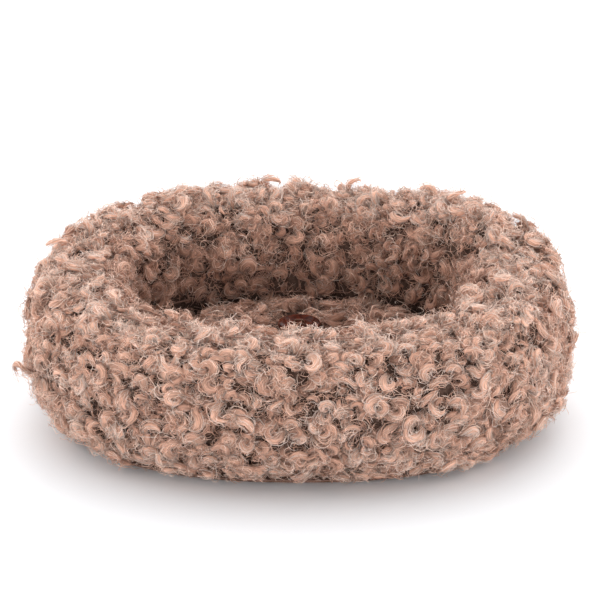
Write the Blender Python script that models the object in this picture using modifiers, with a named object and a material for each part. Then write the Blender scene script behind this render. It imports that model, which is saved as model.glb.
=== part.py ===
"""Small oval cushion bed for a pet or a plush toy: a thick stuffed wall round a stuffed floor, in curly fleece.

Metres, +Z up. X is the bed's width, and the low side of the wall faces -Y. The origin is on the ground, in the
middle of the underside. A wall's cross-section is given as (inset, height): how far a point lies inside the bed's
outline, and how far above the ground.
"""

from math import atan2, cos, hypot, pi, radians, sin

import bmesh
import bpy
from mathutils import Vector

# Overall form, over the pile
BED_WIDTH = 0.260
BED_DEPTH = 0.216
OUTLINE_POWER = 2.24  # 2 is an ellipse, more is squarer
WALL_HEIGHT = 0.078  # middle of the sides
CREST_RISE = 0.080  # share of the height that the back gains and the front loses at the outline
WALL_THICKNESS = 0.056
CREST_POWER = 2.8  # roundness of the wall's upper half
UNDERSIDE_POWER = 2.4  # rounder under the wall than a box, so the edge clears the ground

# Floor, at the middle of the bed
FLOOR_CROWN = 0.0425  # highest ring of the floor's pile
FLOOR_EDGE = 0.0375  # where the floor meets the wall
CROWN_SHARE = 0.55  # the crown's place between the button and the wall
CENTRE_BACK = 0.006  # the tuft lies this far behind the middle

# Cloth, filling and thread
FLEECE_THICKNESS = 0.009  # knitted backing and curled pile
BASE_THICKNESS = 0.0015
BASE_SEAM_INSET = 0.022
THREAD_DIAMETER = 0.0006
CLOSING_ARC = radians(50)  # stretch of the base seam at the back, sewn last by hand
CLOSING_STEP = 0.004  # between the closing thread's ends and the machine-sewn thread's
CLEARANCE = 0.0003

# Tuft: a button, its cord and the washer that the cord pulls against
BUTTON_DIAMETER = 0.0203  # 32 line
BUTTON_THICKNESS = 0.0034
BUTTON_RECESS = 0.0013
BUTTON_RIM = 0.0026
BUTTON_PROUD = 0.0016  # top of the rim above the floor's crown
SEAT_MARGIN = 0.0008
WASHER_DIAMETER = 0.016
WASHER_THICKNESS = 0.0014
HOLE_DIAMETER = 0.0019
HOLE_PITCH = 0.0044
CORD_DIAMETER = 0.0010

# Fineness of the faceted solids
RING_STEPS = 56
QUARTER_POINTS = 7
FLOOR_POINTS = 7
ROUND_STEPS = 32

HALF_WIDTH = BED_WIDTH / 2
HALF_DEPTH = BED_DEPTH / 2
SEAM_GAP = THREAD_DIAMETER + 2 * CLEARANCE
BUTTON_TOP = FLOOR_CROWN + BUTTON_PROUD
BUTTON_SEAT = BUTTON_TOP - BUTTON_THICKNESS - CLEARANCE
SEAT_RADIUS = BUTTON_DIAMETER / 2 + SEAT_MARGIN
CORD_CHANNEL = CORD_DIAMETER + 2 * CLEARANCE
WASHER_BOTTOM = BASE_THICKNESS + CORD_DIAMETER + 3 * CLEARANCE
WASHER_TOP = WASHER_BOTTOM + WASHER_THICKNESS
LINING = FLEECE_THICKNESS + CLEARANCE  # from the wall's surface to its filling
FLOOR_RIM = WALL_THICKNESS - FLEECE_THICKNESS  # inset of the floor's sewn edge, under the inner wall
WALL_FOOT = FLOOR_EDGE + SEAM_GAP  # height of the inner wall's lower edge, sewn down on the floor
TUFT = Vector((0, CENTRE_BACK, 0))


def clear_scene():
    for obj in list(bpy.data.objects):
        bpy.data.objects.remove(obj)


def new_collection(name):
    collection = bpy.data.collections.new(name)
    bpy.context.scene.collection.children.link(collection)
    return collection


def make_material(name, color, roughness, metallic=0.0):
    material = bpy.data.materials.new(name)
    material.use_nodes = True
    shader = material.node_tree.nodes["Principled BSDF"]
    shader.inputs["Base Color"].default_value = (*color, 1.0)
    shader.inputs["Roughness"].default_value = roughness
    shader.inputs["Metallic"].default_value = metallic
    return material


def signed_power(value, power):
    return abs(value) ** power * (1 if value >= 0 else -1)


def smooth_step(value):
    t = min(max(value, 0.0), 1.0)
    return t * t * (3 - 2 * t)


# The bed's outline and its wall's section


def outline(angle, inset):
    """The point of the bed's plan at this polar angle, moved inwards by inset at right angles to the outline."""
    c, s = cos(angle), sin(angle)
    radius = (abs(c / HALF_WIDTH) ** OUTLINE_POWER + abs(s / HALF_DEPTH) ** OUTLINE_POWER) ** (-1 / OUTLINE_POWER)
    across = signed_power(c * radius / HALF_WIDTH, OUTLINE_POWER - 1) / HALF_WIDTH
    along = signed_power(s * radius / HALF_DEPTH, OUTLINE_POWER - 1) / HALF_DEPTH
    outward = Vector((across, along, 0)).normalized()
    return Vector((c, s, 0)) * radius - outward * inset


def to_plan(point):
    """Moves a point of a shape turned about Z, of radius HALF_WIDTH, onto the oval plan, and raises the back.

    The wall keeps its thickness all round. Inside it the plan goes from oval at the wall to round at the tuft.
    """
    angle, radius = atan2(point.y, point.x), hypot(point.x, point.y)
    inset = HALF_WIDTH - radius
    if inset <= WALL_THICKNESS:
        place = outline(angle, inset)
    else:
        share = radius / (HALF_WIDTH - WALL_THICKNESS)
        oval = (outline(angle, WALL_THICKNESS) - TUFT) * share
        round_ = Vector((point.x, point.y, 0))
        place = TUFT + round_.lerp(oval, smooth_step(share))
    lift = CREST_RISE * place.y / HALF_DEPTH * point.z ** 2 / WALL_HEIGHT
    return Vector((place.x, place.y, point.z + lift))


def section_point(angle, depth):
    """(inset, height) of the wall's section: angle is 0 outside, 90 degrees at the crest and 180 inside."""
    power = CREST_POWER if sin(angle) >= 0 else UNDERSIDE_POWER

    def surface(at):
        reach = signed_power(cos(at), 2 / power) * WALL_THICKNESS / 2
        return Vector((reach, signed_power(sin(at), 2 / power) * WALL_HEIGHT / 2))

    nudge = 1e-4
    tangent = surface(angle + nudge) - surface(angle - nudge)
    outward = Vector((tangent.y, -tangent.x)).normalized()
    place = surface(angle) - outward * depth
    return (WALL_THICKNESS / 2 - place.x, WALL_HEIGHT / 2 + place.y)


def section_run(angles, depth):
    """Points along the wall's section at one depth under its surface."""
    return [section_point(angle, depth) for angle in angles]


def spread(start, end, count):
    return [start + (end - start) * i / (count - 1) for i in range(count)]


def angle_where(start, end, reached):
    """The section angle between start and end where reached((inset, height)) turns true."""
    for _ in range(40):
        middle = (start + end) / 2
        if reached(section_point(middle, 0)):
            end = middle
        else:
            start = middle
    return end


CREST = pi / 2
BASE_ANGLE = angle_where(0, -CREST, lambda p: p[0] >= BASE_SEAM_INSET - SEAM_GAP / 2)
CREST_SLIT = angle_where(CREST, 0, lambda p: p[0] <= (WALL_THICKNESS - SEAM_GAP) / 2)
FOOT_ANGLE = angle_where(CREST, 3 * pi / 2, lambda p: p[1] <= WALL_FOOT)
OUTSIDE = spread(CREST_SLIT, 0, QUARTER_POINTS) + spread(0, BASE_ANGLE, QUARTER_POINTS)[1:]
INSIDE = spread(pi - CREST_SLIT, FOOT_ANGLE, QUARTER_POINTS + 1)


def floor_height(radius, depth=0.0):
    """Height of the floor at a distance from the tuft: level at the button, crowned, and lower at the wall."""
    edge = HALF_WIDTH - WALL_THICKNESS
    share = min(max((radius - SEAT_RADIUS) / (edge - SEAT_RADIUS), 0.0), 1.0)
    if share < CROWN_SHARE:
        top = BUTTON_SEAT + (FLOOR_CROWN - BUTTON_SEAT) * smooth_step(share / CROWN_SHARE)
    else:
        fall = smooth_step((share - CROWN_SHARE) / (1 - CROWN_SHARE))
        top = FLOOR_CROWN + (FLOOR_EDGE - FLOOR_CROWN) * fall
    return top - depth


def floor_run(depth):
    """(inset, height) along the floor at one depth under its surface, from its middle to the wall."""
    edge = HALF_WIDTH - WALL_THICKNESS
    radii = [0] + spread(SEAT_RADIUS, edge, FLOOR_POINTS)
    return [(HALF_WIDTH - radius, floor_height(radius, depth)) for radius in radii]


# Ways of making a solid


def add_mesh(name, mesh, material, collection):
    obj = bpy.data.objects.new(name, mesh)
    collection.objects.link(obj)
    mesh.materials.clear()
    mesh.materials.append(material)
    mesh.shade_smooth()
    mesh.set_sharp_from_angle(angle=radians(40))
    return obj


def evaluated_mesh(obj):
    """A copy of what an object's modifiers or bevel make of it, with its doubled points welded."""
    bpy.context.view_layer.update()
    mesh = bpy.data.meshes.new_from_object(obj.evaluated_get(bpy.context.evaluated_depsgraph_get()))
    work = bmesh.new()
    work.from_mesh(mesh)
    bmesh.ops.remove_doubles(work, verts=work.verts, dist=1e-6)
    work.to_mesh(mesh)
    work.free()
    return mesh


def turned_mesh(points, closed, steps):
    """Turns (radius, height) points about Z. A closed section runs down its outer side first."""
    profile = bpy.data.meshes.new("profile")
    edges = [(i, i + 1) for i in range(len(points) - 1)] + ([(len(points) - 1, 0)] if closed else [])
    profile.from_pydata([(radius, 0, height) for radius, height in points], edges, [])
    guide = bpy.data.objects.new("profile", profile)
    bpy.context.scene.collection.objects.link(guide)
    screw = guide.modifiers.new("turn", "SCREW")
    screw.axis = "Z"
    screw.angle = 2 * pi
    screw.steps = screw.render_steps = steps
    screw.use_merge_vertices = True
    screw.merge_threshold = 1e-5
    mesh = evaluated_mesh(guide)
    bpy.data.objects.remove(guide)
    return mesh


def bed_shape(name, section, material, collection, closed=True):
    """A cloth or filling piece: its (inset, height) section turned, then moved onto the bed's plan."""
    mesh = turned_mesh([(HALF_WIDTH - inset, height) for inset, height in section], closed, RING_STEPS)
    for vertex in mesh.vertices:
        vertex.co = to_plan(vertex.co)
    return add_mesh(name, mesh, material, collection)


def tube(name, run, diameter, material, collection, cyclic=False, sides=2):
    """A thread or cord through these points."""
    curve = bpy.data.curves.new(name, "CURVE")
    curve.dimensions = "3D"
    curve.bevel_depth = diameter / 2
    curve.bevel_resolution = sides
    curve.use_fill_caps = not cyclic
    spline = curve.splines.new("POLY")
    spline.points.add(len(run) - 1)
    spline.use_cyclic_u = cyclic
    for point, place in zip(spline.points, run):
        point.co = (*place, 1)
    curve.materials.append(material)
    obj = bpy.data.objects.new(name, curve)
    collection.objects.link(obj)
    return obj


def ring_thread(name, inset, height, material, collection, start=0.0, sweep=2 * pi):
    """A seam's thread along the plan at one inset and height: a closed ring, or an arc if sweep is under a turn."""
    whole = sweep >= 2 * pi
    steps = RING_STEPS if whole else max(4, round(RING_STEPS * sweep / (2 * pi)))
    angles = [start + sweep * i / steps for i in range(steps if whole else steps + 1)]
    radius = HALF_WIDTH - inset
    run = [to_plan(Vector((cos(a) * radius, sin(a) * radius, height))) for a in angles]
    return tube(name, run, THREAD_DIAMETER, material, collection, cyclic=whole, sides=1)


def cut(obj, cutter):
    boolean = obj.modifiers.new("cut_" + cutter.name, "BOOLEAN")
    boolean.operation = "DIFFERENCE"
    boolean.object = cutter
    return obj


def cutter_object(name, mesh, collection):
    obj = bpy.data.objects.new(name, mesh)
    collection.objects.link(obj)
    obj.hide_render = True
    obj.display_type = "WIRE"
    return obj


def back_slit(cutters):
    """Cutter that parts a wall strip's two ends, where they are sewn together at the middle of the back."""
    work = bmesh.new()
    bmesh.ops.create_cube(work, size=1.0)
    reach = WALL_THICKNESS * 2
    scale = Vector((SEAM_GAP, reach, WALL_HEIGHT * 3))
    for vertex in work.verts:
        vertex.co = Vector([a * b for a, b in zip(vertex.co, scale)]) + Vector((0, HALF_DEPTH, 0))
    mesh = bpy.data.meshes.new("back_slit")
    work.to_mesh(mesh)
    work.free()
    return cutter_object("back_slit", mesh, cutters)


# The bed's pieces


def build_walls(parts, cutters, fleece):
    """Two strips of fleece: one up the outside to the crest, one from the crest down to the floor."""
    slit = back_slit(cutters)
    outer = section_run(OUTSIDE, 0) + section_run(OUTSIDE[::-1], FLEECE_THICKNESS)
    inner = section_run(INSIDE, FLEECE_THICKNESS) + section_run(INSIDE[::-1], 0)
    cut(bed_shape("outer_wall_fleece", outer, fleece, parts), slit)
    cut(bed_shape("inner_wall_fleece", inner, fleece, parts), slit)


def build_floor(parts, fleece, channels):
    """Oval of fleece, pierced by the tuft's cords. Its rim runs under the inner wall, which is sewn down on it."""
    under = floor_run(FLEECE_THICKNESS)
    rim = [(FLOOR_RIM, FLOOR_EDGE), (FLOOR_RIM, FLOOR_EDGE - FLEECE_THICKNESS)]
    floor = bed_shape("floor_fleece", floor_run(0) + rim + under[::-1], fleece, parts, closed=False)
    cut(floor, channels)


def build_base(parts, cloth):
    """Flat woven oval that the bed stands on."""
    edge = BASE_SEAM_INSET + SEAM_GAP / 2
    section = [(HALF_WIDTH, BASE_THICKNESS), (edge, BASE_THICKNESS), (edge, 0), (HALF_WIDTH, 0)]
    bed_shape("base_fabric", section, cloth, parts, closed=False)


def build_fillings(parts, fibre, channels):
    """A ring of fibre in the wall, and a pad of it under the floor that is hollowed for the tuft's washer."""
    bottom = BASE_THICKNESS + CLEARANCE
    pad_side = FLOOR_RIM - CLEARANCE
    outside = section_run([CREST] + OUTSIDE[1:], LINING)
    heel = (outside[-1][0] + CLEARANCE, bottom)
    inside = [p for p in section_run(INSIDE[:0:-1], LINING) if p[1] > WALL_FOOT and p[0] < pad_side - CLEARANCE]
    bed_shape("wall_filling", outside + [heel, (pad_side, bottom), (pad_side, WALL_FOOT)] + inside, fibre, parts)

    roof = floor_run(FLEECE_THICKNESS + CLEARANCE)
    pocket = HALF_WIDTH - WASHER_DIAMETER / 2 - CLEARANCE
    ceiling = WASHER_TOP + CLEARANCE
    side = [(FLOOR_RIM, FLOOR_EDGE - FLEECE_THICKNESS - CLEARANCE), (FLOOR_RIM, bottom)]
    hollow = [(pocket, bottom), (pocket, ceiling), (HALF_WIDTH, ceiling)]
    cut(bed_shape("floor_filling", roof + side + hollow, fibre, parts, closed=False), channels)


def build_seams(parts, thread):
    """The threads that hold the cloth together, each in the gap between the edges it joins."""
    middle = FLEECE_THICKNESS / 2
    ring_thread("crest_seam_thread", WALL_THICKNESS / 2, WALL_HEIGHT - middle, thread, parts)
    ring_thread("floor_seam_thread", WALL_THICKNESS - middle, FLOOR_EDGE + SEAM_GAP / 2, thread, parts)

    open_from, open_to = pi / 2 - CLOSING_ARC / 2, pi / 2 + CLOSING_ARC / 2
    end_gap = CLOSING_STEP / HALF_WIDTH
    height = BASE_THICKNESS - THREAD_DIAMETER / 2
    sewn = 2 * pi - CLOSING_ARC - 2 * end_gap
    ring_thread("base_seam_thread", BASE_SEAM_INSET, height, thread, parts, open_to + end_gap, sewn)
    ring_thread("closing_thread", BASE_SEAM_INSET, height, thread, parts, open_from, CLOSING_ARC)

    for name, angles in (("outer_back_seam_thread", OUTSIDE), ("inner_back_seam_thread", INSIDE)):
        run = [to_plan(Vector((0, HALF_WIDTH - inset, height))) for inset, height in section_run(angles, middle)]
        tube(name, run, THREAD_DIAMETER, thread, parts, sides=1)


def disc_section(radius, thickness, recess=0.0, rim=0.0, steps=4):
    """(radius, height) of a button: round-edged, from the middle of its top to the middle of its underside."""
    edge = thickness / 2
    points = [(0, thickness - recess)]
    if recess:
        points += [(radius - rim - recess, thickness - recess), (radius - rim, thickness)]
    for i in range(steps + 1):
        turn = pi / 2 - pi * i / steps
        points.append((radius - edge + edge * cos(turn), edge + edge * sin(turn)))
    return points + [(0, 0)]


def four_cylinders(name, diameter, cutters):
    """Cutter for the tuft's four upright holes, through everything from the ground to above the button."""
    work = bmesh.new()
    for x in (-HOLE_PITCH / 2, HOLE_PITCH / 2):
        for y in (-HOLE_PITCH / 2, HOLE_PITCH / 2):
            made = bmesh.ops.create_cone(
                work, cap_ends=True, segments=12, radius1=diameter / 2, radius2=diameter / 2, depth=2 * WALL_HEIGHT
            )
            bmesh.ops.translate(work, verts=made["verts"], vec=TUFT + Vector((x, y, WALL_HEIGHT / 2)))
    mesh = bpy.data.meshes.new(name)
    work.to_mesh(mesh)
    work.free()
    return cutter_object(name, mesh, cutters)


def build_tuft(parts, cutters, shell, plastic, waxed):
    """The button on the floor, the washer inside the base, and the two turns of cord that pull them together."""
    holes = four_cylinders("button_holes", HOLE_DIAMETER, cutters)
    section = disc_section(BUTTON_DIAMETER / 2, BUTTON_THICKNESS, BUTTON_RECESS, BUTTON_RIM)
    button = add_mesh("tuft_button", turned_mesh(section, False, ROUND_STEPS), shell, parts)
    button.location = TUFT + Vector((0, 0, BUTTON_SEAT + CLEARANCE))
    cut(button, holes)

    section = disc_section(WASHER_DIAMETER / 2, WASHER_THICKNESS)
    washer = add_mesh("tuft_washer", turned_mesh(section, False, ROUND_STEPS), plastic, parts)
    washer.location = TUFT + Vector((0, 0, WASHER_BOTTOM))
    cut(washer, holes)

    stand_off = CORD_DIAMETER / 2 + CLEARANCE
    high = BUTTON_TOP - BUTTON_RECESS + stand_off
    low = WASHER_BOTTOM - stand_off
    corners = [(1, high), (-1, high), (-1, low), (1, low)]
    for name, side in (("tuft_cord_front", -1), ("tuft_cord_back", 1)):
        turn = rounded_loop(corners, side * HOLE_PITCH / 2)
        tube(name, turn, CORD_DIAMETER, waxed, parts, cyclic=True)


def rounded_loop(corners, y):
    """One turn of cord across two holes: a rectangle in the XZ plane with its corners rounded by the cord's own size."""
    bend = CORD_DIAMETER
    run = []
    for i, (side, height) in enumerate(corners):
        start = pi / 2 * i
        centre = Vector((side * (HOLE_PITCH / 2 - bend), 0, height - bend if i < 2 else height + bend))
        for step in range(4):
            turn = start + pi / 6 * step
            run.append(TUFT + Vector((0, y, 0)) + centre + Vector((cos(turn), 0, sin(turn))) * bend)
    return run


def main():
    clear_scene()
    parts = new_collection("cushion_bed")
    cutters = new_collection("cutters")
    fleece = make_material("curly_fleece", (0.41, 0.235, 0.18), 0.95)
    cloth = make_material("base_cloth", (0.26, 0.15, 0.115), 0.9)
    fibre = make_material("white_fibre", (0.85, 0.84, 0.82), 1.0)
    thread = make_material("sewing_thread", (0.36, 0.21, 0.16), 0.6)
    shell = make_material("brown_button", (0.09, 0.022, 0.01), 0.25)
    plastic = make_material("clear_washer", (0.7, 0.68, 0.63), 0.4)
    waxed = make_material("waxed_cord", (0.17, 0.07, 0.04), 0.5)
    channels = four_cylinders("cord_channels", CORD_CHANNEL, cutters)
    build_walls(parts, cutters, fleece)
    build_floor(parts, fleece, channels)
    build_base(parts, cloth)
    build_fillings(parts, fibre, channels)
    build_seams(parts, thread)
    build_tuft(parts, cutters, shell, plastic, waxed)


main()
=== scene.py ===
"""Looks for the oval cushion bed: curled fleece pile on a stuffed wall and floor, a button, a woven base and a studio.

Metres, +Z up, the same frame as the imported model. The pile is real geometry: every lock is a bundle of closed hairs
round a closed core. A place on the bed is (along, across, depth): along the ring, across the pile's ground, and how
far below the pile's outer surface.
"""

from math import cos, pi, radians, sin

import bmesh
import bpy
import numpy as np
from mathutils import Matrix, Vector


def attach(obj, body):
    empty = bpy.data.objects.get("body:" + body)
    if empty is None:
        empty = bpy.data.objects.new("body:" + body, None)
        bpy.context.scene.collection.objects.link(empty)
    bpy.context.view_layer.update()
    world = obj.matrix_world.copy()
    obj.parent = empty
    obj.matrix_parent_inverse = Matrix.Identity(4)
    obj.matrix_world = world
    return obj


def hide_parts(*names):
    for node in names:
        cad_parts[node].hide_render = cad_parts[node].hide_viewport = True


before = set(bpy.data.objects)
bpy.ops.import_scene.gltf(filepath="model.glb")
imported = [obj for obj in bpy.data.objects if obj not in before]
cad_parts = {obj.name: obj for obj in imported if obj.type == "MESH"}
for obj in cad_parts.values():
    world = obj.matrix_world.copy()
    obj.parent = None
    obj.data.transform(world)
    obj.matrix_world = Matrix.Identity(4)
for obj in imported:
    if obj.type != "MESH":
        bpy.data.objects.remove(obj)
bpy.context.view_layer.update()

# The bed's form, as the CAD source has it
HALF_WIDTH, HALF_DEPTH = 0.130, 0.108
OUTLINE_POWER = 2.24
WALL_HEIGHT, WALL_THICKNESS = 0.078, 0.056
CREST_RISE = 0.080
CREST_POWER, UNDERSIDE_POWER = 2.8, 2.4
FLOOR_CROWN, FLOOR_EDGE, CROWN_SHARE = 0.0425, 0.0375, 0.55
BUTTON_SEAT, SEAT_RADIUS = 0.0404, 0.01095
BASE_SEAM_INSET = 0.022
TUFT = np.array([0.0, 0.006])
GROUND_ZONE, GROUND_CLEARANCE = 0.004, 0.0004  # hairs under the first height are eased up over the second
TOP, TOP_ZONE = 0.0935, 0.003  # no hair stands higher, and the zone under it in which they are eased down
BUTTON_CLEAR, BUTTON_LOW, BUTTON_HIGH = 0.0108, 0.030, 0.060  # how far hairs keep from the tuft between two heights
BACKING_LOW, CUSHION_LOW = 0.0017, 0.0020  # undersides of the backing bodies, over the base cloth

# The camera, at the photograph's angle
CAMERA_DISTANCE = 3.6
CAMERA_ELEVATION = radians(21.7)
CAMERA_LENS = 458.6
AIM = (0.0004, 0.0, 0.039)
AIM_RAISE = 0.0167


# ---------------------------------------------------------------- the bed's surface


def signed_power(value, power):
    return np.sign(value) * np.abs(value) ** power


def outline(angle, inset):
    """Points (x, y) of the plan at polar angles, moved inwards at right angles to it, and the outward directions."""
    c, s = np.cos(angle), np.sin(angle)
    radius = (np.abs(c / HALF_WIDTH) ** OUTLINE_POWER + np.abs(s / HALF_DEPTH) ** OUTLINE_POWER) ** (-1 / OUTLINE_POWER)
    across = signed_power(c * radius / HALF_WIDTH, OUTLINE_POWER - 1) / HALF_WIDTH
    along = signed_power(s * radius / HALF_DEPTH, OUTLINE_POWER - 1) / HALF_DEPTH
    length = np.hypot(across, along)
    outward = np.stack([across / length, along / length], -1)
    return np.stack([c * radius, s * radius], -1) - outward * np.asarray(inset)[..., None], outward


UNDER_START = -1.48  # section angle where the pile's ground begins, under the wall
SEAM_GAP = 0.0012  # the pile stops this far before the base and the floor


def section_table():
    """Arc length along the wall's section, from under the wall over the crest to its foot, and what lies there."""
    angle = np.linspace(UNDER_START, pi + 0.7, 4000)
    power = np.where(np.sin(angle) >= 0, CREST_POWER, UNDERSIDE_POWER)
    reach = signed_power(np.cos(angle), 2 / power) * WALL_THICKNESS / 2
    height = signed_power(np.sin(angle), 2 / power) * WALL_HEIGHT / 2
    inset, z = WALL_THICKNESS / 2 - reach, WALL_HEIGHT / 2 + height
    run = np.concatenate([[0], np.cumsum(np.hypot(np.diff(inset), np.diff(z)))])
    even = np.linspace(0, run[-1], 700)
    inset, z = np.interp(even, run, inset), np.interp(even, run, z)
    d_in, d_z = np.gradient(inset, even), np.gradient(z, even)
    soft = np.ones(25) / 25
    d_in = np.convolve(np.pad(d_in, 12, "edge"), soft, "valid")
    d_z = np.convolve(np.pad(d_z, 12, "edge"), soft, "valid")
    length = np.hypot(d_in, d_z)
    return even, inset, z, d_z / length, d_in / length


SECTION, SEC_INSET, SEC_Z, SEC_OUT, SEC_UP = section_table()
CREST_AT = float(SECTION[np.argmax(SEC_Z)])
FOOT_AT = float(SECTION[SECTION > CREST_AT][np.argmax(SEC_Z[SECTION > CREST_AT] < FLOOR_EDGE + SEAM_GAP)])
HEEL_AT = float(SECTION[SECTION < CREST_AT][np.argmax(SEC_INSET[SECTION < CREST_AT] < BASE_SEAM_INSET - SEAM_GAP)])


def ring_table():
    angle = np.linspace(0, 2 * pi, 2001)
    place, _ = outline(angle, np.full_like(angle, WALL_THICKNESS / 2))
    run = np.concatenate([[0], np.cumsum(np.hypot(*np.diff(place, axis=0).T))])
    return run, angle


RING_RUN, RING_ANGLE = ring_table()
AROUND = RING_RUN[-1]


def lifted(x, y, z):
    """The back of the bed stands higher than its front."""
    return np.stack([x, y, z + CREST_RISE * y / HALF_DEPTH * z ** 2 / WALL_HEIGHT], -1)


def wall_place(along, across, depth):
    """Points on or under the wall's surface, and the outward normals."""
    angle = np.interp(np.mod(along, AROUND), RING_RUN, RING_ANGLE)
    inset, z = np.interp(across, SECTION, SEC_INSET), np.interp(across, SECTION, SEC_Z)
    out, up = np.interp(across, SECTION, SEC_OUT), np.interp(across, SECTION, SEC_UP)
    place, outward = outline(angle, inset + out * depth)
    normal = np.stack([outward[..., 0] * out, outward[..., 1] * out, up], -1)
    return lifted(place[..., 0], place[..., 1], z - up * depth), normal


def ring_scale(along, across):
    """How much longer a step along the ring's middle line is than the same step on the wall at this place."""
    angle = np.interp(np.mod(along, AROUND), RING_RUN, RING_ANGLE)
    inset = np.interp(across, SECTION, SEC_INSET)
    step = 1e-3
    here, _ = outline(angle - step, inset)
    there, _ = outline(angle + step, inset)
    mid_here, _ = outline(angle - step, np.full_like(inset, WALL_THICKNESS / 2))
    mid_there, _ = outline(angle + step, np.full_like(inset, WALL_THICKNESS / 2))
    return np.linalg.norm(mid_there - mid_here, axis=-1) / np.linalg.norm(there - here, axis=-1)


def floor_table():
    angle = np.linspace(0, 2 * pi, 721)
    rim, _ = outline(angle, np.full_like(angle, WALL_THICKNESS))
    turn = np.unwrap(np.arctan2(rim[:, 1] - TUFT[1], rim[:, 0] - TUFT[0]))
    return turn, np.hypot(rim[:, 0] - TUFT[0], rim[:, 1] - TUFT[1])


FLOOR_TURN, FLOOR_REACH = floor_table()


def smooth_step(t):
    t = np.clip(t, 0, 1)
    return t * t * (3 - 2 * t)


def floor_share(x, y):
    """0 at the tuft and 1 where the floor meets the wall."""
    turn = np.mod(np.arctan2(y - TUFT[1], x - TUFT[0]) - FLOOR_TURN[0], 2 * pi) + FLOOR_TURN[0]
    return np.hypot(x - TUFT[0], y - TUFT[1]) / np.interp(turn, FLOOR_TURN, FLOOR_REACH)


def floor_height(x, y):
    share = floor_share(x, y)
    edge = HALF_WIDTH - WALL_THICKNESS
    near = np.hypot(x - TUFT[0], y - TUFT[1])
    radius = near + (share * edge - near) * smooth_step(share)
    t = np.clip((radius - SEAT_RADIUS) / (edge - SEAT_RADIUS), 0, 1)
    rise = BUTTON_SEAT + (FLOOR_CROWN - BUTTON_SEAT) * smooth_step(t / CROWN_SHARE)
    fall = FLOOR_CROWN + (FLOOR_EDGE - FLOOR_CROWN) * smooth_step((t - CROWN_SHARE) / (1 - CROWN_SHARE))
    return np.where(t < CROWN_SHARE, rise, fall)


def floor_place(x, y, depth):
    step = 5e-4
    z = floor_height(x, y)
    slope_x = (floor_height(x + step, y) - floor_height(x - step, y)) / (2 * step)
    slope_y = (floor_height(x, y + step) - floor_height(x, y - step)) / (2 * step)
    normal = np.stack([-slope_x, -slope_y, np.ones_like(z)], -1)
    normal /= np.linalg.norm(normal, axis=-1, keepdims=True)
    return lifted(x - normal[..., 0] * depth, y - normal[..., 1] * depth, z - normal[..., 2] * depth), normal


# ---------------------------------------------------------------- noise


def waves(seed, scale, count=14):
    """Smooth noise over 3-D points as a sum of plane waves, about -1 to 1."""
    rng = np.random.default_rng(seed)
    direction = rng.normal(size=(count, 3))
    direction /= np.linalg.norm(direction, axis=1, keepdims=True)
    rate = 2 * pi / scale * rng.uniform(0.6, 1.5, count)
    phase = rng.uniform(0, 2 * pi, count)

    def value(points):
        return np.sin(points @ (direction * rate[:, None]).T + phase).sum(-1) / count ** 0.5

    return value


lump = waves(3, 0.030)
lump_fine = waves(4, 0.014)
tone_patch = waves(5, 0.045)
swirl = waves(6, 0.050)
swirl_turn = waves(7, 0.024)


# ---------------------------------------------------------------- meshes from arrays


def mesh_object(name, verts, quads, tris, uvs, material):
    """One smooth-shaded mesh. uvs holds (u, v) for each corner, the quads' corners first."""
    mesh = bpy.data.meshes.new(name)
    loops = np.concatenate([quads.ravel(), tris.ravel()]).astype(np.int32)
    counts = np.concatenate([np.full(len(quads), 4), np.full(len(tris), 3)])
    starts = np.concatenate([[0], np.cumsum(counts)[:-1]]).astype(np.int32)
    mesh.vertices.add(len(verts))
    mesh.vertices.foreach_set("co", verts.astype(np.float32).ravel())
    mesh.loops.add(len(loops))
    mesh.loops.foreach_set("vertex_index", loops)
    mesh.polygons.add(len(counts))
    mesh.polygons.foreach_set("loop_start", starts)
    mesh.polygons.foreach_set("use_smooth", np.ones(len(counts), dtype=bool))
    mesh.update(calc_edges=True)
    if uvs is not None:
        layer = mesh.uv_layers.new(name="OFBake")
        layer.data.foreach_set("uv", uvs.astype(np.float32).ravel())
    mesh.validate()
    obj = bpy.data.objects.new(name, mesh)
    bpy.context.scene.collection.objects.link(obj)
    mesh.materials.append(material)
    return obj


def transported(paths):
    """For paths (n, m, 3): two directions at right angles to each path, without twist."""
    count = paths.shape[1]
    tangent = np.gradient(paths, axis=1)
    tangent /= np.maximum(np.linalg.norm(tangent, axis=2, keepdims=True), 1e-12)
    side = np.empty_like(paths)
    start = np.where(np.abs(tangent[:, 0, 2:3]) < 0.9, [[0.0, 0.0, 1.0]], [[1.0, 0.0, 0.0]])
    side[:, 0] = np.cross(tangent[:, 0], start)
    side[:, 0] /= np.linalg.norm(side[:, 0], axis=1, keepdims=True)
    for i in range(1, count):
        step = side[:, i - 1] - tangent[:, i] * (side[:, i - 1] * tangent[:, i]).sum(1, keepdims=True)
        side[:, i] = step / np.maximum(np.linalg.norm(step, axis=1, keepdims=True), 1e-12)
    return side, np.cross(tangent, side)


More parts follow.
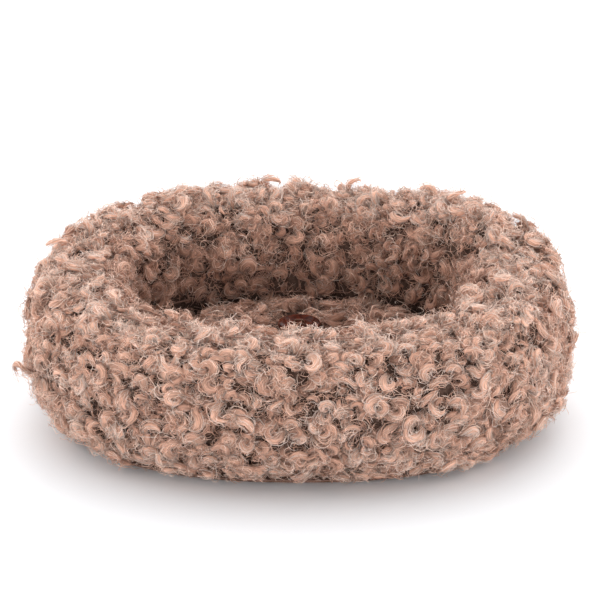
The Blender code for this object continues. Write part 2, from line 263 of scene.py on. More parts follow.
def tube_arrays(paths, wide, thick, sides, frames=None):
    """Closed tubes along paths (n, m, 3), drawn to a point at both ends. wide and thick are half sizes (n, m)."""
    n, m, _ = paths.shape
    first, second = frames if frames is not None else transported(paths)
    rings = m - 2
    turn = 2 * pi * np.arange(sides) / sides
    body = paths[:, 1:-1, None, :]
    body = body + first[:, 1:-1, None, :] * (wide[:, 1:-1, None] * np.cos(turn))[..., None]
    body = body + second[:, 1:-1, None, :] * (thick[:, 1:-1, None] * np.sin(turn))[..., None]
    verts = np.concatenate([paths[:, :1], body.reshape(n, rings * sides, 3), paths[:, -1:]], 1)
    each = rings * sides + 2
    i = np.arange(rings - 1)[:, None] * sides + 1
    j = np.arange(sides)[None, :]
    k = (j + 1) % sides
    quads = np.stack([i + j, i + k, i + sides + k, i + sides + j], -1).reshape(-1, 4)
    head = np.stack([np.zeros(sides), 1 + k[0], 1 + j[0]], -1)
    last = 1 + (rings - 1) * sides
    tail = np.stack([np.full(sides, each - 1), last + j[0], last + k[0]], -1)
    tris = np.concatenate([head, tail]).astype(int)
    base = (np.arange(n) * each)[:, None, None]
    return verts.reshape(-1, 3), (quads[None] + base).reshape(-1, 4), (tris[None] + base).reshape(-1, 3)


def tube_uvs(n, m, sides, low, high):
    """Corner UVs of tube_arrays: v runs from root to tip, and u across the tube between low and high (n,)."""
    rings = m - 2
    v = np.linspace(0, 1, m)
    i = np.arange(rings - 1)[:, None]
    j = np.arange(sides)[None, :]
    u0, u1 = j / sides, (j + 1) / sides
    ones = np.ones_like(i * u0)
    v0, v1 = v[i + 1] * ones, v[i + 2] * ones
    quad_u = np.stack([u0 * ones, u1 * ones, u1 * ones, u0 * ones], -1).reshape(-1)
    quad_v = np.stack([v0, v0, v1, v1], -1).reshape(-1)
    jj = np.arange(sides) / sides
    half = jj + 0.5 / sides
    head_u = np.stack([half, jj + 1 / sides, jj], -1).reshape(-1)
    head_v = np.tile([v[0], v[1], v[1]], sides)
    tail_u = np.stack([half, jj, jj + 1 / sides], -1).reshape(-1)
    tail_v = np.tile([v[-1], v[-2], v[-2]], sides)
    tri_u, tri_v = np.concatenate([head_u, tail_u]), np.concatenate([head_v, tail_v])
    span = (high - low)[:, None]
    quad = np.stack([low[:, None] + span * quad_u, np.broadcast_to(quad_v, (n, len(quad_v)))], -1)
    tri = np.stack([low[:, None] + span * tri_u, np.broadcast_to(tri_v, (n, len(tri_v)))], -1)
    return quad.reshape(-1, 2), tri.reshape(-1, 2)


class Pile:
    """Gathers tubes, then makes one mesh of them."""

    def __init__(self):
        self.parts, self.total = [], 0

    def add(self, paths, wide, thick, sides, low, high, frames=None):
        verts, quads, tris = tube_arrays(paths, wide, thick, sides, frames)
        quad_uv, tri_uv = tube_uvs(paths.shape[0], paths.shape[1], sides, low, high)
        self.parts.append((verts, quads + self.total, tris + self.total, quad_uv, tri_uv))
        self.total += len(verts)

    def triangles(self):
        return sum(2 * len(p[1]) + len(p[2]) for p in self.parts)

    def build(self, name, material):
        verts, quads, tris, quad_uv, tri_uv = (np.concatenate(part) for part in zip(*self.parts))
        return mesh_object(name, verts, quads, tris, np.concatenate([quad_uv, tri_uv]), material)


# ---------------------------------------------------------------- where locks grow

WALL_THROWS, FLOOR_THROWS = 3.2, 3.3055  # roots tried for each square of one spacing
FLOOR_FIELD = (0.078, 0.056)  # half sizes of the rectangle that the floor's roots are thrown in
ROOTS_CLEAR = 0.0105  # how far the floor's roots keep from the tuft


def scatter(points, spacing):
    """Indices of points kept so that no two are nearer than the spacing: dart throwing in the points' order."""
    grid, kept = {}, []
    for i, (x, y, z) in enumerate(np.floor(points / spacing).astype(int)):
        near = [
            j
            for a in (x - 1, x, x + 1)
            for b in (y - 1, y, y + 1)
            for c in (z - 1, z, z + 1)
            for j in grid.get((a, b, c), ())
        ]
        if near:
            gap = points[near] - points[i]
            if (gap * gap).sum(1).min() < spacing ** 2:
                continue
        grid.setdefault((x, y, z), []).append(i)
        kept.append(i)
    return np.array(kept)


def wall_roots(spacing, rng):
    count = int(WALL_THROWS * AROUND * (FOOT_AT - HEEL_AT) / spacing ** 2)
    along, across = rng.uniform(0, AROUND, count), rng.uniform(HEEL_AT, FOOT_AT, count)
    fair = rng.uniform(0, 1.35, count) < 1 / ring_scale(along, across)
    along, across = along[fair], across[fair]
    kept = scatter(wall_place(along, across, np.zeros_like(along))[0], spacing)
    return along[kept], across[kept]


def floor_roots(spacing, rng):
    half_x, half_y = FLOOR_FIELD
    count = int(FLOOR_THROWS * 4 * half_x * half_y / spacing ** 2)
    x, y = rng.uniform(-half_x, half_x, count), rng.uniform(-half_y, half_y, count)
    inside = (floor_share(x, y) < 0.99) & (np.hypot(x - TUFT[0], y - TUFT[1]) > ROOTS_CLEAR)
    x, y = x[inside], y[inside]
    kept = scatter(floor_place(x, y, np.zeros_like(x))[0], spacing)
    return x[kept], y[kept]


# ---------------------------------------------------------------- the shape of a lock

FINE = 49  # steps that a hair's curve is worked out in
CORE_SEED, PILE_SEED = 1, 41
HOOK, WAVE, SWEEP, RINGLET, PUFF, TUFT_UP = range(6)  # kinds of lock, in the order of pick's values
GROUND_DEPTH = 0.0078  # from the pile's outer surface to the ground it grows from
BACKING_DEPTH = GROUND_DEPTH - 0.0006


def lock_numbers(rng, count, upright, layer, scale):
    """The numbers that shape each lock. upright is the share of a lock's chance to be a tuft that stands out."""
    kind = rng.choice(5, count, p=[0.50, 0.13, 0.12, 0.13, 0.12])
    size = rng.uniform(0.78, 1.18, count) * layer["size"] * scale
    kind = np.where(rng.uniform(size=count) < upright, TUFT_UP, kind)
    pick = lambda *by_kind: np.array(by_kind)[kind]
    spread = lambda low, high: low + (high - low) * rng.uniform(size=count)
    return {
        "kind": kind,
        "length": size * spread(0.9, 1.15) * pick(0.0225, 0.0205, 0.0180, 0.0200, 0.0165, 0.0240),
        "turn": spread(0.75, 1.25) * pick(4.7, 3.6, 1.6, 1.2, 3.2, 3.6),
        "hand": rng.choice([-1.0, 1.0], count),
        "rise": spread(0.75, 1.3) * pick(0.34, 0.34, 0.40, 0.34, 0.46, 0.66),
        "dip": spread(0.1, 0.6) * pick(1, 1, 1, 1, 1.2, 1.0),
        "width": size / scale * spread(0.85, 1.15) * pick(0.0028, 0.0025, 0.0027, 0.0016, 0.0028, 0.0022),
        "thick": size / scale ** 2 * spread(0.85, 1.15) * pick(0.0019, 0.0018, 0.0018, 0.0014, 0.0022, 0.0017),
        "coil": spread(0.85, 1.15) * pick(0, 0, 0, 0.0019, 0, 0),
        "coils": spread(1.3, 2.1) * pick(0, 0, 0, 1, 0, 0),
        "fan": spread(0.9, 1.1) * pick(0.10, 0.12, 0.12, 0.04, 0.75, 0.12),
        "phase": rng.uniform(0, 2 * pi, count),
        "rough": spread(0.6, 1.5),
    }


def steps_along(heading, pitch, step):
    """The steps (n, m, 3) of curves that head and climb at these angles."""
    flat = np.cos(pitch)
    return np.stack([np.cos(heading) * flat, np.sin(heading) * flat, np.sin(pitch)], -1) * step[..., None]


def hair_curves(lock, owner, heading0, wide, high, rng, loose):
    """Local curves (n, FINE, 3) of hairs: along, across and height over the backing.

    owner is each hair's lock. wide and high, -1 to 1, are its place in the lock. loose scales its own waywardness.
    """
    s = np.linspace(0, 1, FINE)[None, :]
    of = lambda key: lock[key][owner][:, None]
    n = len(owner)
    own = lambda low, high_: rng.uniform(low, high_, n)[:, None]
    eased = np.clip((s - 0.18) / 0.82, 0, 1)
    hook = eased ** 1.25
    wave = 0.5 * np.sin(pi * 1.9 * eased) + 0.15 * eased
    bend = np.where(of("kind") == WAVE, wave, hook)
    turn = of("turn") * of("hand") * (1 + own(-0.08, 0.08) * (1 + loose[:, None]))
    heading = heading0[owner][:, None] + turn * bend + of("fan") * wide[:, None] * 1.6
    heading = heading + loose[:, None] * 0.35 * np.sin(2 * pi * (own(0.6, 1.6) * s + own(0, 1)))
    rise = np.clip(s / of("rise"), 0, 1)
    pitch = 1.35 * (1 - rise ** 1.6) - of("dip") * smooth_step((s - of("rise")) / (1 - of("rise")))
    pitch = pitch + loose[:, None] * 0.25 * np.sin(2 * pi * (own(0.6, 1.6) * s + own(0, 1)))
    step = of("length") * (1 + own(-0.10, 0.06)) / (FINE - 1)
    flow = steps_along(heading, pitch, step)
    path = np.concatenate([np.zeros((n, 1, 3)), np.cumsum((flow[:, 1:] + flow[:, :-1]) / 2, axis=1)], 1)
    side = np.stack([-np.sin(heading), np.cos(heading), np.zeros_like(heading)], -1)
    body = bundle_profile(s)
    psi = of("phase") + 2 * pi * of("coils") * s
    coil = of("coil") * smooth_step(s / 0.3)
    path = path + side * (of("width") * wide[:, None] * body + coil * np.cos(psi))[..., None]
    path[..., 2] += of("thick") * high[:, None] * body[0] + coil * np.sin(psi)
    wander = 0.00022 * of("rough") * (1 + 2.2 * loose[:, None])
    for axis in range(3):
        path[..., axis] += wander * smooth_step(s / 0.25) * np.sin(2 * pi * (own(0.8, 2.6) * s + own(0, 1)))
    return path


def bundle_profile(s):
    """How full a lock is along its length: gathered at the root, fullest past the middle and closing at the tip."""
    return 0.35 + 0.65 * smooth_step(s / 0.38) - 0.62 * smooth_step((s - 0.62) / 0.38)


def resample(paths, count, crowd=1.0):
    """Fewer points along fine paths, crowded towards the tip where crowd is under 1."""
    at = np.linspace(0, 1, count) ** crowd * (paths.shape[1] - 1)
    low = np.minimum(at.astype(int), paths.shape[1] - 2)
    part = (at - low)[None, :, None]
    return paths[:, low] * (1 - part) + paths[:, low + 1] * part


def settled(places, across):
    """How far the pile is pressed down on the crest. Two places at the back are plumped up instead."""
    x, y = places[..., 0], places[..., 1]
    front = smooth_step((0.03 - y) / 0.12)
    end = smooth_step((np.abs(x) - 0.085) / 0.035)
    back = smooth_step(y / 0.04)
    plump = back * (0.0062 * np.exp(-((x - 0.076) / 0.026) ** 2) + 0.0038 * np.exp(-((x + 0.056) / 0.024) ** 2))
    notch = smooth_step(-y / 0.06) * np.exp(-(x / 0.034) ** 2)
    pressed = 0.0008 + 0.0018 * front + 0.0030 * notch + 0.0008 * end - plump
    return pressed * np.exp(-((across - CREST_AT) / 0.018) ** 2)


class WallGround:
    """Carries local curves onto the wall."""

    def __init__(self, along, across):
        self.along, self.across = along, across
        self.scale = ring_scale(along, across)
        self.root = wall_place(along, across, np.zeros_like(along))[0]
        self.bulge = 0.0017 * lump(self.root) + 0.0012 * lump_fine(self.root) - settled(self.root, across)

    def world(self, owner, local):
        along = self.along[owner][:, None] + local[..., 0] * self.scale[owner][:, None]
        across = self.across[owner][:, None] + local[..., 1]
        depth = GROUND_DEPTH - self.bulge[owner][:, None] - local[..., 2]
        return wall_place(along, across, depth)[0]


class FloorGround:
    """Carries local curves onto the floor cushion."""

    def __init__(self, x, y):
        self.x, self.y = x, y
        self.root = floor_place(x, y, np.zeros_like(x))[0]
        near = np.exp(-((np.hypot(x - TUFT[0], y - TUFT[1]) - 0.010) / 0.007) ** 2)
        self.bulge = (0.0011 * lump(self.root) + 0.0008 * lump_fine(self.root)) * (1 - near) - 0.0030 * near

    def world(self, owner, local):
        x = self.x[owner][:, None] + local[..., 0]
        y = self.y[owner][:, None] + local[..., 1]
        depth = GROUND_DEPTH - self.bulge[owner][:, None] - local[..., 2]
        return floor_place(x, y, depth)[0]


def kept_clear(points):
    """Keeps the pile out of the ground that the bed stands on, under TOP, and off the button."""
    z = points[..., 2]
    give = GROUND_ZONE - GROUND_CLEARANCE
    z = np.where(z < GROUND_ZONE, GROUND_CLEARANCE + give * np.exp((z - GROUND_ZONE) / give), z)
    points[..., 2] = np.where(z > TOP - TOP_ZONE, TOP - TOP_ZONE * np.exp((TOP - TOP_ZONE - z) / TOP_ZONE), z)
    off = points[..., :2] - TUFT
    far = np.maximum(np.linalg.norm(off, axis=-1, keepdims=True), 1e-6)
    beside = (points[..., 2:3] > BUTTON_LOW) & (points[..., 2:3] < BUTTON_HIGH)
    points[..., :2] = np.where(beside & (far < BUTTON_CLEAR), TUFT + off / far * BUTTON_CLEAR, points[..., :2])
    return points


# The two layers of the pile: short locks close to the backing, and the full ones over them. The short locks' low tone
# is painted shade down between the full locks.
UNDER = {
    "size": 0.60, "spacing": 0.0046, "tone": 0.30, "hairs": 4, "hair_points": 9, "half": 0.00019, "core_points": 8,
    "core_sides": 6, "fuzz": 2, "frizz": 9, "frizz_from": 0.0002, "frizz_to": 0.0040,
}
UPPER = {
    "size": 0.80, "spacing": 0.0048, "tone": 0.66, "hairs": 12, "hair_points": 10, "half": 0.00015, "core_points": 10,
    "core_sides": 7, "fuzz": 8, "frizz": 2, "frizz_from": GROUND_DEPTH - 0.0040, "frizz_to": GROUND_DEPTH - 0.0004,
}


def grow(ground, layer, upright, heading0, shades, scale, rng):
    """Every lock's hairs as (paths, tones, owners) and core as (paths, half sizes, frames, tones), in world space."""
    count = len(ground.root)
    lock = lock_numbers(rng, count, upright, layer, scale)
    heading0 = heading0 + rng.normal(0, 0.9, count)
    owner = np.repeat(np.arange(count), layer["hairs"])
    slot = np.tile(np.linspace(-1, 1, layer["hairs"]), count)
    wide = slot + rng.uniform(-0.06, 0.06, len(owner))
    arch = np.sqrt(np.clip(1 - slot ** 2, 0, 1))
    high = arch * rng.uniform(0.75, 1.15, len(owner)) - 0.1
    stray = rng.uniform(size=len(owner)) < 0.22
    loose = np.where(stray, rng.uniform(1.0, 2.6, len(owner)), rng.uniform(0, 0.6, len(owner)))
    local = hair_curves(lock, owner, heading0, wide, high, rng, loose)
    hairs = kept_clear(ground.world(owner, resample(local, layer["hair_points"], 0.9)))
    tone = np.clip(shades[owner] + rng.normal(0, 0.24, len(owner)), 0.02, 0.98)

    whole = np.arange(count)
    still = np.zeros(count)
    centre = hair_curves(lock, whole, heading0, still, still, np.random.default_rng(CORE_SEED), still)
    edge = hair_curves(lock, whole, heading0, still + 0.5, still, np.random.default_rng(CORE_SEED), still)
    core = ground.world(whole, resample(centre, layer["core_points"], 0.9))
    rib = ground.world(whole, resample(edge, layer["core_points"], 0.9)) - core
    rib /= np.maximum(np.linalg.norm(rib, axis=2, keepdims=True), 1e-9)
    tangent = np.gradient(core, axis=1)
    tangent /= np.linalg.norm(tangent, axis=2, keepdims=True)
    rib = rib - tangent * (rib * tangent).sum(2, keepdims=True)
    rib /= np.maximum(np.linalg.norm(rib, axis=2, keepdims=True), 1e-9)
    body = bundle_profile(np.linspace(0, 1, layer["core_points"])[None, :] ** 0.9)
    core_wide = lock["width"][:, None] * 0.80 * body * np.where(lock["kind"] == PUFF, 0.6, 1.0)[:, None]
    core_thick = lock["thick"][:, None] * 0.72 * body
    frames = (rib, np.cross(tangent, rib))
    return {
        "hairs": (hairs, tone, owner),
        "core": (kept_clear(core), core_wide, core_thick, frames, np.clip(shades, 0.05, 0.95)),
    }


# The pile's colour is looked up along u: hairs use 0 to HAIR_END, and cores CORE_START to 1
HAIR_END, HAIR_SPAN = 0.49, 0.008
CORE_START, CORE_RANGE, CORE_SPAN = 0.52, 0.30, 0.16
FUZZ_POINTS, FUZZ_HALF = 6, 0.00013
FRIZZ_POINTS, FRIZZ_HALF = 7, 0.00012


def hair_band(tone):
    return HAIR_END * tone, HAIR_END * tone + HAIR_SPAN


def walked(flow):
    """Curves from 0 along the steps (n, m, 3), leaving out each curve's first step."""
    return np.concatenate([np.zeros_like(flow[:, :1]), np.cumsum(flow[:, 1:], axis=1)], 1)


def add_hairs(pile, hairs, tone, rng, half):
    n, m, _ = hairs.shape
    s = np.linspace(0, 1, m)[None, :]
    size = half * rng.uniform(0.8, 1.2, n)[:, None] * (1.05 - 0.45 * s ** 2)
    pile.add(hairs, size, size, 3, *hair_band(tone))


def add_cores(pile, core, wide, thick, frames, shade, sides):
    low = CORE_START + CORE_RANGE * shade
    pile.add(core, wide, thick, sides, low, low + CORE_SPAN, frames)


def add_fuzz(pile, core, wide, thick, frames, shades, each, rng):
    """Short crimped hairs that stand off the locks' surfaces."""
    n, m, _ = core.shape
    owner = np.repeat(np.arange(n), each)
    count = len(owner)
    at = rng.integers(1, m - 1, count)
    around = rng.uniform(0, 2 * pi, count)
    first, second = frames[0][owner, at], frames[1][owner, at]
    along = np.cross(first, second)
    off_wide, off_thick = wide[owner, at] * np.cos(around), thick[owner, at] * np.sin(around)
    start = core[owner, at] + first * off_wide[:, None] + second * off_thick[:, None]
    out = first * np.cos(around)[:, None] + second * np.sin(around)[:, None]
    side = np.cross(along, out)
    t = np.linspace(0, 1, FUZZ_POINTS)[None, :]
    heading = rng.normal(0, 0.7, count)[:, None] + rng.normal(0, 2.6, count)[:, None] * t
    lift = rng.uniform(0.0, 0.75, count)[:, None] - rng.uniform(0.2, 1.5, count)[:, None] * t
    step = rng.uniform(0.0035, 0.0080, count)[:, None] / (FUZZ_POINTS - 1)
    local = steps_along(heading, lift, step)
    flow = along[:, None] * local[..., :1] + side[:, None] * local[..., 1:2] + out[:, None] * local[..., 2:]
    paths = start[:, None] + walked(flow)
    # Fuzz is lighter than its lock by 0.10 in tone on average: painted highlight where light catches the standing
    # hairs, mostly on the crest.
    tone = np.clip(shades[owner] + rng.normal(0.10, 0.22, count), 0.02, 0.98)
    size = FUZZ_HALF * rng.uniform(0.75, 1.2, count)[:, None] * np.ones((1, FUZZ_POINTS))
    pile.add(kept_clear(paths), size, size, 3, *hair_band(tone))


def add_frizz(pile, ground, layer, rng):
    """Single fine hairs that stray between and over the locks."""
    count = len(ground.root) * layer["frizz"]
    owner = rng.integers(0, len(ground.root), count)
    t = np.linspace(0, 1, FRIZZ_POINTS)[None, :]
    heading = rng.uniform(0, 2 * pi, count)[:, None] + rng.normal(0, 2.6, count)[:, None] * t + 0.5 * np.sin(
        2 * pi * (rng.uniform(0.5, 1.3, count)[:, None] * t + rng.uniform(0, 1, count)[:, None])
    )
    pitch = rng.normal(0.35, 0.35, count)[:, None] - t * rng.uniform(0.3, 1.6, count)[:, None]
    step = rng.uniform(0.005, 0.010, count)[:, None] / (FRIZZ_POINTS - 1)
    local = walked(steps_along(heading, pitch, step))
    local[..., :2] += rng.normal(0, 0.003, (count, 1, 2))
    local[..., 2] += rng.uniform(layer["frizz_from"], layer["frizz_to"], count)[:, None]
    paths = kept_clear(ground.world(owner, local))
    tone = np.clip(rng.normal(layer["tone"] + 0.1, 0.18, count), 0.03, 0.98)
    size = FRIZZ_HALF * rng.uniform(0.7, 1.15, count)[:, None] * np.ones((1, FRIZZ_POINTS))
    pile.add(paths, size, size, 3, *hair_band(tone))


# ---------------------------------------------------------------- materials


PILE_DARK, PILE_MID = (0.44, 0.225, 0.155), (0.86, 0.492, 0.352)
# The palest hair colour: crest hairs reach it through the painted rim highlight, a few light hairs elsewhere by their
# own tone.
PILE_LIGHT, PILE_PALEST_AND_RIM_HIGHLIGHT = (1.0, 0.738, 0.602), (1.0, 0.80, 0.70)
PILE_CORE_DARK, PILE_CORE_LIGHT = (0.34, 0.170, 0.115), (0.96, 0.575, 0.425)


def shader_material(name, roughness, **constants):
    material = bpy.data.materials.new(name)
    material.use_nodes = True
    nodes, links = material.node_tree.nodes, material.node_tree.links
    shader = nodes["Principled BSDF"]
    shader.inputs["Roughness"].default_value = roughness
    for key, value in constants.items():
        shader.inputs[key.replace("_", " ")].default_value = value
    return material, nodes, links, shader


def ramp(nodes, links, value, stops):
    """The colour that a value has between the stops, each a position and a colour."""
    node = nodes.new("ShaderNodeValToRGB")
    elements = node.color_ramp.elements
    while len(elements) > 1:
        elements.remove(elements[-1])
    elements[0].position, elements[0].color = stops[0][0], (*stops[0][1], 1)
    for position, colour in stops[1:]:
        elements.new(position).color = (*colour, 1)
    links.new(value, node.inputs[0])
    return node.outputs[0]


def multiplied(nodes, links, first, second):
    node = nodes.new("ShaderNodeMix")
    node.data_type, node.blend_type = "RGBA", "MULTIPLY"
    node.inputs[0].default_value = 1.0
    links.new(first, node.inputs[6])
    links.new(second, node.inputs[7])
    return node.outputs[2]


def texture(nodes, links, kind, **constants):
    """A texture node laid in the object's own coordinates."""
    place = nodes.new("ShaderNodeTexCoord")
    node = nodes.new("ShaderNodeTex" + kind)
    for key, value in constants.items():
        node.inputs[key].default_value = value
    links.new(place.outputs["Object"], node.inputs["Vector"])
    return node


def coat(nodes, links, shader, pattern, stops, strength=0.0, distance=0.0):
    """Colours a shader by a pattern, and bumps it by the same pattern where strength is given."""
    links.new(ramp(nodes, links, pattern, stops), shader.inputs["Base Color"])
    if strength:
        bump = nodes.new("ShaderNodeBump")
        bump.inputs["Strength"].default_value = strength
        bump.inputs["Distance"].default_value = distance
        links.new(pattern, bump.inputs["Height"])
        links.new(bump.outputs[0], shader.inputs["Normal"])


def grey(value):
    return (value, value, value)


def make_pile_material():
    """Colour depends on the hair's own tone (u) and on the way from root to tip (v), with streaks along it. Darker
    towards the root is painted shade deep in the pile.
    """
    material, nodes, links, shader = shader_material(
        "curled_pile", 0.75, Specular_IOR_Level=0.25, Sheen_Weight=0.55, Sheen_Roughness=0.40
    )
    shader.inputs["Sheen Tint"].default_value = (1.0, 0.84, 0.77, 1)
    uv = nodes.new("ShaderNodeUVMap")
    uv.uv_map = "OFBake"
    split = nodes.new("ShaderNodeSeparateXYZ")
    links.new(uv.outputs[0], split.inputs[0])
    hair = ramp(nodes, links, split.outputs[0], [
        (0.0, PILE_DARK), (0.25, PILE_MID), (0.42, PILE_LIGHT), (HAIR_END, PILE_PALEST_AND_RIM_HIGHLIGHT),
        (CORE_START, PILE_CORE_DARK), (1.0, PILE_CORE_LIGHT),
    ])
    # Painted shade: darker towards the root (v = 0).
    stops = [(0.0, grey(0.30)), (0.25, grey(0.66)), (0.48, grey(1.0)), (1.0, grey(1.0))]
    along = ramp(nodes, links, split.outputs[1], stops)
    streak = nodes.new("ShaderNodeTexNoise")
    streak.noise_dimensions = "2D"
    stretch = nodes.new("ShaderNodeMapping")
    stretch.inputs["Scale"].default_value = (70.0, 3.0, 1.0)
    links.new(uv.outputs[0], stretch.inputs[0])
    links.new(stretch.outputs[0], streak.inputs["Vector"])
    streak.inputs["Scale"].default_value = 1.0
    streak.inputs["Detail"].default_value = 2.0
    lines = ramp(nodes, links, streak.outputs[0], [(0.36, grey(0.62)), (0.60, grey(1.0))])
    colour = multiplied(nodes, links, multiplied(nodes, links, hair, along), lines)
    links.new(colour, shader.inputs["Base Color"])
    return material


def make_backing_material():
    """Knitted ground of the fleece, with loops. Its dark colour is painted shade in the gaps between the locks."""
    material, nodes, links, shader = shader_material("fleece_backing", 0.95, Specular_IOR_Level=0.1)
    loops = texture(nodes, links, "Voronoi", Scale=700.0).outputs["Distance"]
    coat(nodes, links, shader, loops, [(0.1, (0.13, 0.080, 0.062)), (0.8, (0.07, 0.042, 0.032))], 0.6, 0.0008)
    return material


def make_weave_material(name, dark, light, pitch, roughness):
    """Plain weave: two crossed waves."""
    material, nodes, links, shader = shader_material(name, roughness, Specular_IOR_Level=0.2)
    cross = nodes.new("ShaderNodeMath")
    cross.operation = "MULTIPLY"
    for direction, socket in zip("XY", cross.inputs):
        wave = texture(nodes, links, "Wave", Scale=1 / pitch / 2, Distortion=0.6, Detail=1.0)
        wave.bands_direction = direction
        links.new(wave.outputs["Fac"], socket)
    coat(nodes, links, shader, cross.outputs[0], [(0.0, dark), (0.7, light)], 0.4, 0.0003)
    return material


def make_thread_material(name, dark, light, scale):
    """Twisted thread: slanted bands."""
    material, nodes, links, shader = shader_material(name, 0.6, Specular_IOR_Level=0.3)
    wave = texture(nodes, links, "Wave", Scale=scale)
    wave.bands_direction = "DIAGONAL"
    coat(nodes, links, shader, wave.outputs["Fac"], [(0.2, dark), (0.8, light)], 0.5, 0.0002)
    return material


def make_button_material():
    """Glossy dark red-brown plastic with a horn-like cloud in it."""
    material, nodes, links, shader = shader_material("button_shell", 0.22, Specular_IOR_Level=0.14)
    cloud = texture(nodes, links, "Noise", Scale=260.0, Detail=4.0, Distortion=1.2).outputs["Fac"]
    coat(nodes, links, shader, cloud, [(0.35, (0.026, 0.0035, 0.0012)), (0.7, (0.110, 0.018, 0.006))])
    return material


def make_washer_material():
    material, nodes, links, shader = shader_material("washer_plastic", 0.45)
    cloud = texture(nodes, links, "Noise", Scale=300.0).outputs["Fac"]
    coat(nodes, links, shader, cloud, [(0.3, (0.62, 0.60, 0.55)), (0.7, (0.72, 0.70, 0.65))])
    return material


# ---------------------------------------------------------------- padded bodies under the pile


def grid_body(name, rows, material, joined=True):
    """A body from n closed rings of m points, with the first ring next to the last where joined."""
    n, m, _ = rows.shape
    i, j = np.arange(n if joined else n - 1)[:, None], np.arange(m)[None, :]
    here, there, on = i * m, (i + 1) % n * m, (j + 1) % m
    quads = np.stack([here + j, here + on, there + on, there + j], -1).reshape(-1, 4)
    return mesh_object(name, rows.reshape(-1, 3), quads, np.zeros((0, 3), int), None, material)


def wall_body(material):
    """The stuffed wall's backing: lumpy where the filling has settled."""
    steps, count = 300, 110
    across = np.linspace(HEEL_AT, FOOT_AT + 0.004, count)
    along = np.linspace(0, AROUND, steps, endpoint=False)
    grid_along, grid_across = np.meshgrid(along, across, indexing="ij")
    top, normal = wall_place(grid_along, grid_across, np.full_like(grid_along, BACKING_DEPTH))
    puff = 0.0011 * lump(top) + 0.0006 * lump_fine(top) - 0.8 * settled(top, grid_across)
    skin = top + normal * puff[..., None]
    close = 24
    across_back = np.linspace(0, 1, close + 2)[1:-1]
    last, first = skin[:, -1], skin[:, 0]
    inner = last[:, None] * (1 - across_back[None, :, None]) + first[:, None] * across_back[None, :, None]
    rows = np.concatenate([skin, inner], 1)
    rows[..., 2] = np.maximum(rows[..., 2], BACKING_LOW)
    return grid_body("wall_backing", rows[:, ::-1], material)


def floor_body(material):
    """The floor cushion's backing: crowned, drawn down by the button, with creases that run to it."""
    rings, steps = 60, 240
    turn = np.linspace(0, 2 * pi, steps, endpoint=False)
    reach = np.interp(np.mod(turn - FLOOR_TURN[0], 2 * pi) + FLOOR_TURN[0], FLOOR_TURN, FLOOR_REACH)
    share = np.linspace(0.0, 1.0, rings) ** 0.8
    radius = share[:, None] * (reach[None, :] + 0.006)
    x, y = TUFT[0] + radius * np.cos(turn), TUFT[1] + radius * np.sin(turn)
    place = floor_place(x, y, np.full_like(x, BACKING_DEPTH))[0]
    pucker = np.exp(-((radius - 0.017) / 0.010) ** 2) * np.sin(turn[None, :] * 9 + 1.3 * np.sin(turn[None, :] * 2))
    puff = 0.0009 * lump(place) + 0.0004 * lump_fine(place) + 0.0006 * pucker
    place[..., 2] += puff
    under = place.copy()
    under[..., 2] = CUSHION_LOW
    body = grid_body("floor_backing", np.concatenate([place, under[::-1]], 0), material, joined=False)
    work = bmesh.new()
    work.from_mesh(body.data)
    bmesh.ops.remove_doubles(work, verts=work.verts, dist=1e-6)
    bmesh.ops.recalc_face_normals(work, faces=work.faces)
    work.to_mesh(body.data)
    work.free()
    return body


VOXEL, PRESSURE, SWELL_FRAMES, SWELL_MOST = 0.0045, 4, 20, 0.0022
HELD_BELOW = 0.006  # the cover is sewn to the base under this height


def evaluated(body):
    return body.evaluated_get(bpy.context.evaluated_depsgraph_get())


def points_of(mesh):
    points = np.empty(3 * len(mesh.vertices), np.float32)
    mesh.vertices.foreach_get("co", points)
    return points.reshape(-1, 3)


def stuff(body):
    """Swells a cover with its filling in a short cloth simulation. No point moves further than SWELL_MOST."""
    scene = bpy.context.scene
    remesh = body.modifiers.new("even", "REMESH")
    remesh.mode, remesh.voxel_size = "VOXEL", VOXEL
    even = bpy.data.meshes.new_from_object(evaluated(body))
    body.modifiers.clear()
    body.data = even
    start = points_of(even)
    held = body.vertex_groups.new(name="held")
    held.add([int(i) for i in np.flatnonzero(start[:, 2] < HELD_BELOW)], 1.0, "REPLACE")
    cloth = body.modifiers.new("cloth", "CLOTH")
    cloth.settings.quality = 5
    cloth.settings.use_pressure = True
    cloth.settings.uniform_pressure_force = PRESSURE
    cloth.settings.effector_weights.gravity = 0
    cloth.settings.vertex_group_mass = "held"
    cloth.point_cache.frame_start, cloth.point_cache.frame_end = 1, SWELL_FRAMES
    for step in range(1, SWELL_FRAMES + 1):
        scene.frame_set(step)
    move = points_of(evaluated(body).to_mesh()) - start
    evaluated(body).to_mesh_clear()
    body.modifiers.clear()
    body.vertex_groups.clear()
    reach = np.maximum(np.linalg.norm(move, axis=1, keepdims=True), 1e-9)
    print(body.name, len(start), "points swell by up to", float(reach.max()))
    place = start + move * np.minimum(1, SWELL_MOST / reach)
    place[:, 2] = np.maximum(place[:, 2], BACKING_LOW)
    even.vertices.foreach_set("co", place.ravel())
    even.polygons.foreach_set("use_smooth", np.ones(len(even.polygons), dtype=bool))
    even.update()
    scene.frame_set(1)


# ---------------------------------------------------------------- studio


def set_camera():
    data = bpy.data.cameras.new("camera")
    data.lens = CAMERA_LENS
    data.clip_end = 100
    camera = bpy.data.objects.new("camera", data)
    bpy.context.scene.collection.objects.link(camera)
    back = Vector((0, -cos(CAMERA_ELEVATION), sin(CAMERA_ELEVATION)))
    view_up = Vector((0, sin(CAMERA_ELEVATION), cos(CAMERA_ELEVATION)))
    aim = Vector(AIM) + view_up * AIM_RAISE
    camera.location = aim + back * CAMERA_DISTANCE
    camera.rotation_euler = back.to_track_quat("Z", "Y").to_euler()
    bpy.context.scene.camera = camera


